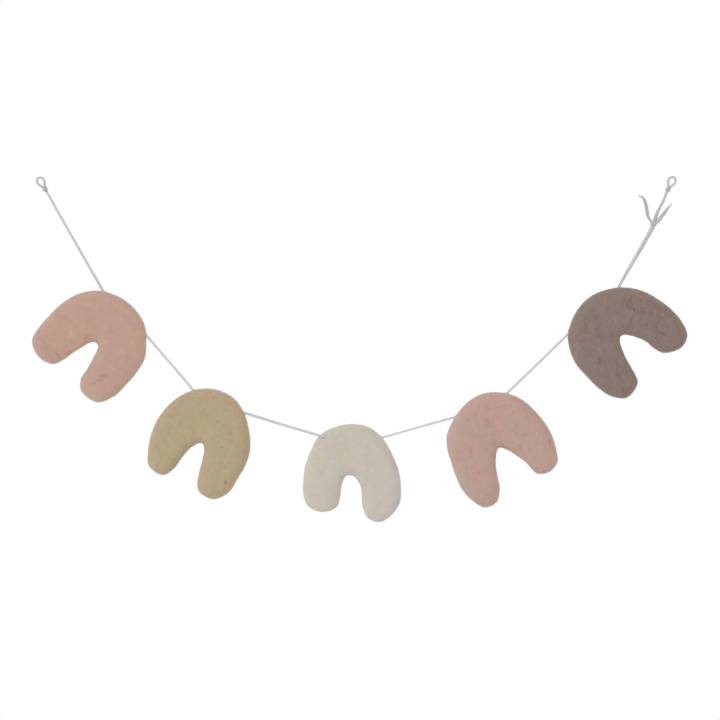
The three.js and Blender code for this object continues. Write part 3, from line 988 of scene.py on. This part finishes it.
# Limits for random strokes on both faces, and for the back's own marks. across is the share of
# the way over the felt's width, and off how far a stroke lies from there.
STROKE_ACROSS = (0.15, 0.85)
STROKE_OFF = 3
STROKE_STRENGTH = (0.5, 1)
STROKE_LENGTH = (5, 14)
STROKE_WIDTH = (1.2, 1.8)
STROKE_ANGLE, STROKE_ANGLE_SPREAD = 90, 18
BACK_MARK = {
    "across": (0.25, 0.75),
    "length": (3, 10),
    "width": (2, 4),
    "angle": (-90, 90),
    "red": (-0.02, 0.03),
    "blue": (-0.03, 0.02),
    "dent": (0.15, 0.4),
}
# How much darker a back mark is for its dent: painted shade in the dent
BACK_SHADE = 0.2


def marks_of(arch, rng):
    """The front's own marks, a few others like them on the back, and short strokes on both."""
    front = [dict(zip(MARK_COLUMNS, row)) for row in MARKS[arch["name"]]]
    ribs = np.array(RIBS[arch["name"]], float)
    back = []
    for face in (front, back):
        for row in ribs[rng.integers(0, len(ribs), arch["strokes"])]:
            share = rng.uniform(*STROKE_ACROSS)
            place = row[:2] * share + row[2:] * (1 - share)
            place = place + rng.uniform(-STROKE_OFF, STROKE_OFF, 2)
            # A stroke is darker where pressed in and lighter where raised: partly the wool's own
            # streaks, partly painted shade in the groove and painted light on the ridge
            shade = arch["stroke_shade"] * rng.choice((-1, 1)) * rng.uniform(*STROKE_STRENGTH)
            size = (rng.uniform(*STROKE_LENGTH), rng.uniform(*STROKE_WIDTH))
            angle = STROKE_ANGLE + rng.normal() * STROKE_ANGLE_SPREAD
            face.append(dict(zip(MARK_COLUMNS, (*place, *size, angle, -shade, shade, 0, 0))))
    for row in ribs:
        mark = {column: rng.uniform(*limits) for column, limits in BACK_MARK.items()}
        share = mark.pop("across")
        mark["x"], mark["z"] = row[:2] * share + row[2:] * (1 - share)
        # Painted shade: a back mark is darker the deeper its dent
        mark["shade"] = -BACK_SHADE * mark["dent"]
        back.append(mark)
    return front, back


LUMP_COLUMNS = ("size", "height", "seed")
LUMPS = [
    (24, 0.55, 0),
    (9, 0.28, 10),
    (3.5, 0.1, 20),
]
RIM_LUMPS = 0.3


def unevenness(places, normals, arch, number, marks):
    """How far out each place of the skin moves: lumps, weaker round the rim, and dents."""
    out = 0
    for row in LUMPS:
        lump = dict(zip(LUMP_COLUMNS, row))
        out = out + lump["height"] * lumps(places, lump["size"] * MM, number + lump["seed"])
    face = np.abs(normals[:, 1])
    out = out * (RIM_LUMPS + (1 - RIM_LUMPS) * face)
    x, z = places[:, 0] / MM - arch["place"][0], places[:, 2] / MM - arch["place"][1]
    for side, side_marks in zip((-1, 1), marks):
        here = places[:, 1] * side > 0
        for mark in side_marks:
            out = out - MARK_DEPTH * mark["dent"] * gaussian_spot(x, z, mark) * face * here
    return out * MM


# A redder mark has less green and blue, and a bluer one less green
RED_OVER_GREEN, RED_OVER_BLUE, BLUE_OVER_GREEN = 0.6, 0.3, 0.2


def tint_of(places, arch, marks):
    """How much each place's red, green and blue are stronger than the felt's own colour."""
    x, z = places[:, 0] / MM - arch["place"][0], places[:, 2] / MM - arch["place"][1]
    tint = np.ones((len(places), 4))
    for side, side_marks in zip((-1, 1), marks):
        here = places[:, 1] * side > 0
        for mark in side_marks:
            spot = gaussian_spot(x, z, mark) * here
            # A mark's shade is partly the wool's own tone, partly painted shade in its dent and painted
            # light and shade along the rims
            shade, red, blue = MARK_SHADE * mark["shade"], mark["red"], mark["blue"]
            tint[:, 0] += spot * (shade + red)
            tint[:, 1] += spot * (shade - RED_OVER_GREEN * red - BLUE_OVER_GREEN * blue)
            tint[:, 2] += spot * (shade - RED_OVER_BLUE * red + blue)
    return tint


# The dimple where the string goes in, and the bore
MOUTH_REACH = 2.6 * MM
MOUTH_DEPTH = 0.45 * MM
BORE_GAP = 2.5 * MM
BORE_STEP, MOUTH_STEP = 8, 6
BORE_RADIUS = 1.65 * MM
BORE_SIDES = 14
SLIVER = 0.01 * MM


def bore_cutter():
    """A plain tube along the string, which cuts the string's way through the felt."""
    line = line_through(string_line[::BORE_STEP], BORE_GAP)
    across, over = sides_along(line)
    angle = np.linspace(0, 2 * math.pi, BORE_SIDES, endpoint=False)[None, :, None]
    around = np.cos(angle) * across[:, None] + np.sin(angle) * over[:, None]
    rings = (line[:, None] + BORE_RADIUS * around).reshape(-1, 3)
    vertices = np.vstack([rings, line[:1], line[-1:]])
    return new_object("bore_cutter", vertices, tube_faces(len(line), BORE_SIDES))


def cut_by(piece, cutter):
    """Cuts the piece, and dissolves the slivers thinner than SLIVER that the cut leaves."""
    modifier = piece.modifiers.new("bore", "BOOLEAN")
    modifier.operation = "DIFFERENCE"
    modifier.solver = "EXACT"
    modifier.object = cutter
    shown = piece.evaluated_get(bpy.context.evaluated_depsgraph_get())
    mesh = bpy.data.meshes.new_from_object(shown)
    piece.modifiers.clear()
    clean = bmesh.new()
    clean.from_mesh(mesh)
    bmesh.ops.dissolve_degenerate(clean, dist=SLIVER, edges=clean.edges)
    clean.to_mesh(mesh)
    clean.free()
    piece.data = mesh
    mesh.shade_smooth()


# Wool: short fibres that lie on the felt, with a few that stand off it. lift is in degrees.
LYING_FIBRES = {"count": 6500, "lengths": (1.6 * MM, 4 * MM), "radius": 0.035 * MM, "lift": (2, 12)}
STANDING_FIBRES = {
    "count": 2500,
    "lengths": (0.8 * MM, 2 * MM),
    "radius": 0.025 * MM,
    "lift": (25, 75),
}
# How much lighter a fibre is than the felt under it: painted light, standing in for the light thin wool
# lets through and evening out the fibres' own shade
FIBRE_PAINTED_LIGHT = (1.0, 1.16)
FIBRE_THICKNESS = (0.7, 1.3)
FIBRE_VEER = 0.7
TIP_RISE = 0.3
MIDDLE_THICKNESS = 0.8
FIBRE_SIDES = 3
FIBRE_VERTICES = 2 * FIBRE_SIDES + 1


def fibre_mesh(mesh, rng, count, lengths, radius, lift):
    """Vertices, faces and tints of tapered three-sided fibres rooted in the mesh."""
    mesh.calc_loop_triangles()
    corners = np.empty(len(mesh.loop_triangles) * 3, int)
    mesh.loop_triangles.foreach_get("vertices", corners)
    corners = corners.reshape(-1, 3)
    places, normals = places_of(mesh), normals_of(mesh)
    tints = np.empty(len(mesh.vertices) * 4, np.float32)
    mesh.attributes["tint"].data.foreach_get("color", tints)
    tints = tints.reshape(-1, 4)
    a, b, c = (places[corners[:, i]] for i in range(3))
    areas = np.linalg.norm(np.cross(b - a, c - a), axis=1)
    chosen = rng.choice(len(corners), count, p=areas / areas.sum())
    share = rng.dirichlet((1, 1, 1), count)[..., None]
    root = (places[corners[chosen]] * share).sum(axis=1)
    out = unit((normals[corners[chosen]] * share).sum(axis=1))
    # Each fibre takes the felt's colour under it, made lighter as painted light
    tint = tints[corners[chosen, 0]] * rng.uniform(*FIBRE_PAINTED_LIGHT, (count, 1))
    ahead = unit(np.cross(out, rng.normal(size=(count, 3))))
    length = rng.uniform(*lengths, (count, 1))
    rise = np.radians(rng.uniform(*lift, (count, 1)))
    first = np.cos(rise) * ahead + np.sin(rise) * out
    veer = np.cross(out, ahead) * rng.uniform(-FIBRE_VEER, FIBRE_VEER, (count, 1))
    second = unit(np.cos(TIP_RISE * rise) * ahead + np.sin(TIP_RISE * rise) * out + veer)
    thick = radius * rng.uniform(*FIBRE_THICKNESS, (count, 1))
    middle = root + first * length * 0.5
    tip = middle + second * length * 0.5
    root = root - out * 2 * thick
    side_a = unit(np.cross(first, out + 0.1 * ahead))
    side_b = np.cross(first, side_a)
    vertices = np.empty((count, FIBRE_VERTICES, 3))
    for i in range(FIBRE_SIDES):
        angle = 2 * math.pi * i / FIBRE_SIDES
        around = math.cos(angle) * side_a + math.sin(angle) * side_b
        vertices[:, i] = root + around * thick
        vertices[:, FIBRE_SIDES + i] = middle + around * thick * MIDDLE_THICKNESS
    vertices[:, -1] = tip
    one = [(0, 2, 1), (3, 4, 6), (4, 5, 6), (5, 3, 6)]
    one += [(i, (i + 1) % 3, (i + 1) % 3 + 3, i + 3) for i in range(FIBRE_SIDES)]
    starts = range(0, count * FIBRE_VERTICES, FIBRE_VERTICES)
    faces = [tuple(start + i for i in face) for start in starts for face in one]
    return vertices.reshape(-1, 3), faces, np.repeat(tint, FIBRE_VERTICES, axis=0)


def set_tint(mesh, tint):
    tint[:, 3] = 1
    mesh.attributes.new("tint", "FLOAT_COLOR", "POINT").data.foreach_set("color", tint.ravel())


# Soft patches of other colours in the wool: shift moves the pattern, scale is how fine it is, and
# the rest is how much stronger red, green and blue are in one half of the patches
PATCH_COLUMNS = ("shift", "scale", "tint")
PATCHES = [
    ((0, 0, 0), 30, (0.01, -0.002, -0.015)),
    ((3, 1, 2), 105, (0.022, -0.015, -0.005)),
    ((7, 5, 4), 120, (0, 0, -0.04)),
]
CLOUD_SHADE, MOTTLE_SHADE, STRAND_SHADE, FLECK_SHADE = 0.03, 0.02, 0.035, 0.1

# Directions of the matted fibres, as turns about x, y and z in radians
FIBRE_TURNS = ((0.4, 0.2, 0.3), (0.9, 1.2, 0.5), (1.5, 0.4, 1.9), (0.2, 2.2, 1.1))
FIBRE_STRETCH = (1, 1, 0.09)


def felt_material(arch):
    """Wool felt: matted fibres every way, soft patches, flecks of darker wool and the marks."""
    n = Nodes(f"felt_{arch['name']}")
    grain, hue = arch["grain"], arch["hue"]

    def uneven(pattern, low, high, shade):
        return n.ramp(pattern, low, high, 1 - shade * grain, 1 + shade * grain)

    shade = n.mix(1.0, linear(*arch["colour"]), n.attribute("tint", "Color"), "MULTIPLY")
    for row in PATCHES:
        patch = dict(zip(PATCH_COLUMNS, row))
        pattern = n.noise(patch["scale"], 2, n.mapped(shift=patch["shift"]))
        one, other = (
            tuple(1 + side * hue * part for part in patch["tint"]) + (1,) for side in (1, -1)
        )
        shade = n.mix(1.0, shade, n.mix(n.ramp(pattern, 0.3, 0.7), one, other), "MULTIPLY")
    clouds = uneven(n.noise(150, 3, n.mapped(shift=(9, 2, 6))), 0.3, 0.7, CLOUD_SHADE)
    mottle = uneven(n.noise(300, 3), 0.3, 0.7, MOTTLE_SHADE)
    layers = [n.noise(2600, 2, n.mapped(FIBRE_STRETCH, turn), 0.8) for turn in FIBRE_TURNS]
    fibres = n.math("MAXIMUM", layers[0], layers[1])
    fibres = n.math("MAXIMUM", fibres, n.math("MAXIMUM", layers[2], layers[3]))
    strands_shade = uneven(fibres, 0.55, 0.75, STRAND_SHADE)
    cells = n.new("ShaderNodeTexVoronoi", feature="F1")
    n.feed(n.mapped((1, 1, 0.6), (0.5, 0.8, 0.1)), cells.inputs["Vector"])
    cells.inputs["Scale"].default_value = 260
    flecks = n.ramp(cells.outputs["Distance"], 0.1, 0.22, 1 - FLECK_SHADE * grain, 1.0)
    rare = n.ramp(n.noise(75, 2), 0.55, 0.62)
    flecks = n.math("MAXIMUM", flecks, n.math("SUBTRACT", 1.0, rare))
    level = n.math("MULTIPLY", n.math("MULTIPLY", mottle, strands_shade), flecks)
    level = n.math("MULTIPLY", level, clouds)
    grey = n.new("ShaderNodeCombineColor")
    for socket in grey.inputs:
        n.feed(level, socket)
    n.feed(n.mix(1.0, shade, grey.outputs[0], "MULTIPLY"), n.shader.inputs["Base Color"])
    n.feed(n.ramp(fibres, 0.5, 0.8, 0.97, 0.86), n.shader.inputs["Roughness"])
    coarse = n.bump(n.noise(420, 3), 0.0006, 0.35)
    n.feed(n.bump(fibres, 0.0003, 0.5, coarse), n.shader.inputs["Normal"])
    n.shader.inputs["Specular IOR Level"].default_value = 0.15
    n.shader.inputs["Sheen Weight"].default_value = 0.6
    n.shader.inputs["Sheen Roughness"].default_value = 0.45
    return n.material


cutter = bore_cutter()
for number, arch in enumerate(ARCHES, 1):
    rng = np.random.default_rng(number)
    look = felt_material(arch)
    vertices, faces = arch_skin(arch)
    piece = new_object(f"wool_{arch['name']}", vertices, faces)
    marks = marks_of(arch, rng)
    places, normals = places_of(piece.data), normals_of(piece.data)
    out = unevenness(places, normals, arch, number, marks)
    near = string_line[None, ::MOUTH_STEP]
    gaps = np.linalg.norm(places[:, None] - near, axis=2).min(axis=1)
    out = out - MOUTH_DEPTH * np.exp(-((gaps / MOUTH_REACH) ** 2))
    piece.data.vertices.foreach_set("co", (places + normals * out[:, None]).ravel())
    piece.data.update()
    cut_by(piece, cutter)
    set_tint(piece.data, tint_of(places_of(piece.data), arch, marks))
    piece.data.materials.append(look)
    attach(piece, "root")
    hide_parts(f"felt_arch_{arch['name']}")

    fibres = [fibre_mesh(piece.data, rng, **kind) for kind in (LYING_FIBRES, STANDING_FIBRES)]
    vertices, faces, tint = joined(fibres)
    wool = new_object(f"fibres_{arch['name']}", vertices, faces, smooth=False)
    set_tint(wool.data, tint)
    wool.data.materials.append(look)
    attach(wool, "root")
bpy.data.objects.remove(cutter)

# Floor, well below the garland
FLOOR_HEIGHT = -1.6
FLOOR_X, FLOOR_NEAR, FLOOR_FAR = 16, -16, 8.5
floor = new_object(
    "floor",
    [
        (-FLOOR_X, FLOOR_NEAR, FLOOR_HEIGHT),
        (FLOOR_X, FLOOR_NEAR, FLOOR_HEIGHT),
        (FLOOR_X, FLOOR_FAR, FLOOR_HEIGHT),
        (-FLOOR_X, FLOOR_FAR, FLOOR_HEIGHT),
    ],
    [(0, 1, 2, 3)],
)
paper = Nodes("pale_floor")
paper.feed(
    paper.mix(paper.noise(3, 2), linear(236, 236, 235), linear(244, 244, 243)),
    paper.shader.inputs["Base Color"],
)
paper.shader.inputs["Roughness"].default_value = 0.9
floor.data.materials.append(paper.material)

# Light: an even white room, and one wide soft light from the left and a little above
ROOM_LIGHT = 0.91
ROOM_COLOUR = (1.015, 1.0, 0.988, 1)
SUN_STRENGTH = 0.95
SUN_COLOUR = (0.92, 1.0, 1.05)
SUN_SPREAD = math.radians(70)
SUN_FROM = Vector((-0.8, -0.55, 0.2))

scene = bpy.context.scene
scene.view_settings.view_transform = "Standard"
scene.world = bpy.data.worlds.new("studio")
scene.world.use_nodes = True
room = scene.world.node_tree
backdrop = room.nodes["Background"]
backdrop.inputs["Color"].default_value = (1, 1, 1, 1)
ambient = room.nodes.new("ShaderNodeBackground")
ambient.inputs["Color"].default_value = ROOM_COLOUR
ambient.inputs["Strength"].default_value = ROOM_LIGHT
chooser = room.nodes.new("ShaderNodeMixShader")
path = room.nodes.new("ShaderNodeLightPath")
room.links.new(path.outputs["Is Camera Ray"], chooser.inputs["Fac"])
room.links.new(ambient.outputs["Background"], chooser.inputs[1])
room.links.new(backdrop.outputs["Background"], chooser.inputs[2])
room.links.new(chooser.outputs["Shader"], room.nodes["World Output"].inputs["Surface"])

sun_data = bpy.data.lights.new("soft_light", "SUN")
sun_data.energy = SUN_STRENGTH
sun_data.color = SUN_COLOUR
sun_data.angle = SUN_SPREAD
sun = bpy.data.objects.new("soft_light", sun_data)
sun.rotation_euler = SUN_FROM.to_track_quat("Z", "Y").to_euler()
scene.collection.objects.link(sun)
